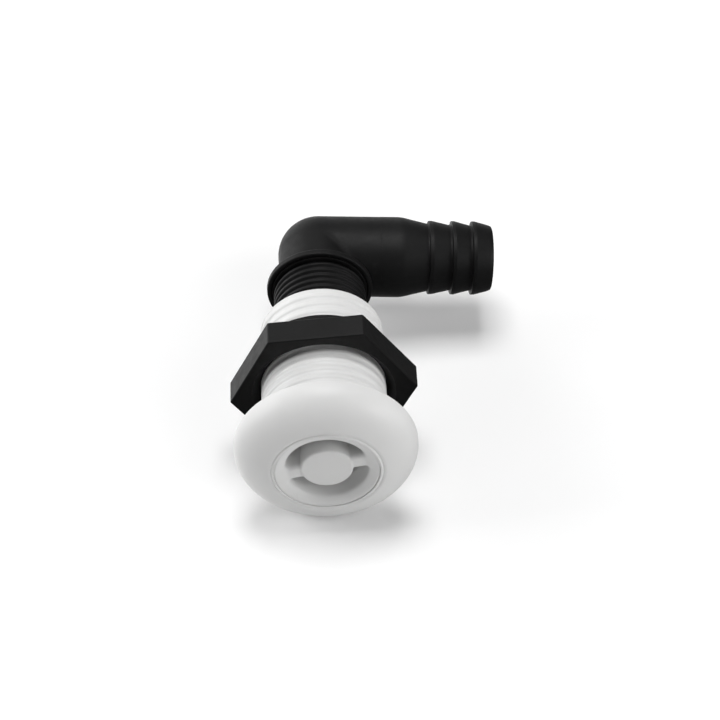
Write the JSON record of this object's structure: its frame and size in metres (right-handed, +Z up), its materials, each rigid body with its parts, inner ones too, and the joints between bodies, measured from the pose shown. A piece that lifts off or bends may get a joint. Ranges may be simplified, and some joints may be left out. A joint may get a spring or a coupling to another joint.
{
  "type": "thru-hull livewell inlet fitting",
  "caption": "Domed flange on a threaded stem, with a turning flow nozzle in its face, a hex lock nut and a barbed hose elbow; carries water through a boat hull or tank wall.",
  "frame": {"origin": "centre of the hull seat: on the stem's axis, in the plane where the flange's gasket bears on the outside of the hull", "axes": "+Y along the stem from the flange towards the elbow, through the hull; the nozzle's face looks along -Y; +Z up; the hose leg points along +X, 3.2 degrees below level"},
  "size_m": [0.0777, 0.0959, 0.0508],
  "materials": {
    "white_plastic": "satin white moulded plastic",
    "nozzle_plastic": "satin white moulded plastic",
    "nut_plastic": "matt black moulded plastic",
    "elbow_plastic": "matt black moulded plastic",
    "rubber": "matt black rubber",
    "stainless": "plain stainless steel"
  },
  "bodies": {
    "fitting": {"thru_hull_body": "white_plastic", "hull_gasket": "rubber"},
    "nozzle": {"flow_nozzle": "nozzle_plastic", "nozzle_o_ring": "rubber", "nozzle_washer": "stainless", "nozzle_screw": "stainless"},
    "nut": {"lock_nut": "nut_plastic"},
    "elbow_seal": {"elbow_gasket": "rubber"},
    "elbow": {"hose_elbow": "elbow_plastic"}
  },
  "joints": [
    {"name": "nozzle_turn", "type": "hinge", "parent": "fitting", "child": "nozzle", "pos_m": [0, 0, 0], "axis": [0, 1, 0], "range_deg": [0, 90]},
    {"name": "nut_turn", "type": "hinge", "parent": "fitting", "child": "nut", "pos_m": [0, 0, 0], "axis": [0, 1, 0], "range_deg": [-1800, 1440]},
    {"name": "elbow_advance", "type": "slide", "parent": "fitting", "child": "elbow_seal", "axis": [0, 1, 0], "range_m": [-0.0151, 0.0045]},
    {"name": "elbow_turn", "type": "hinge", "parent": "elbow_seal", "child": "elbow", "pos_m": [0, 0.071, 0], "axis": [0, 1, 0], "range_deg": [-2450, 720]}
  ],
  "couplings": [
    {"joint": "elbow_advance", "follows": "elbow_turn", "m_per_rad": 0.00035157}
  ]
}
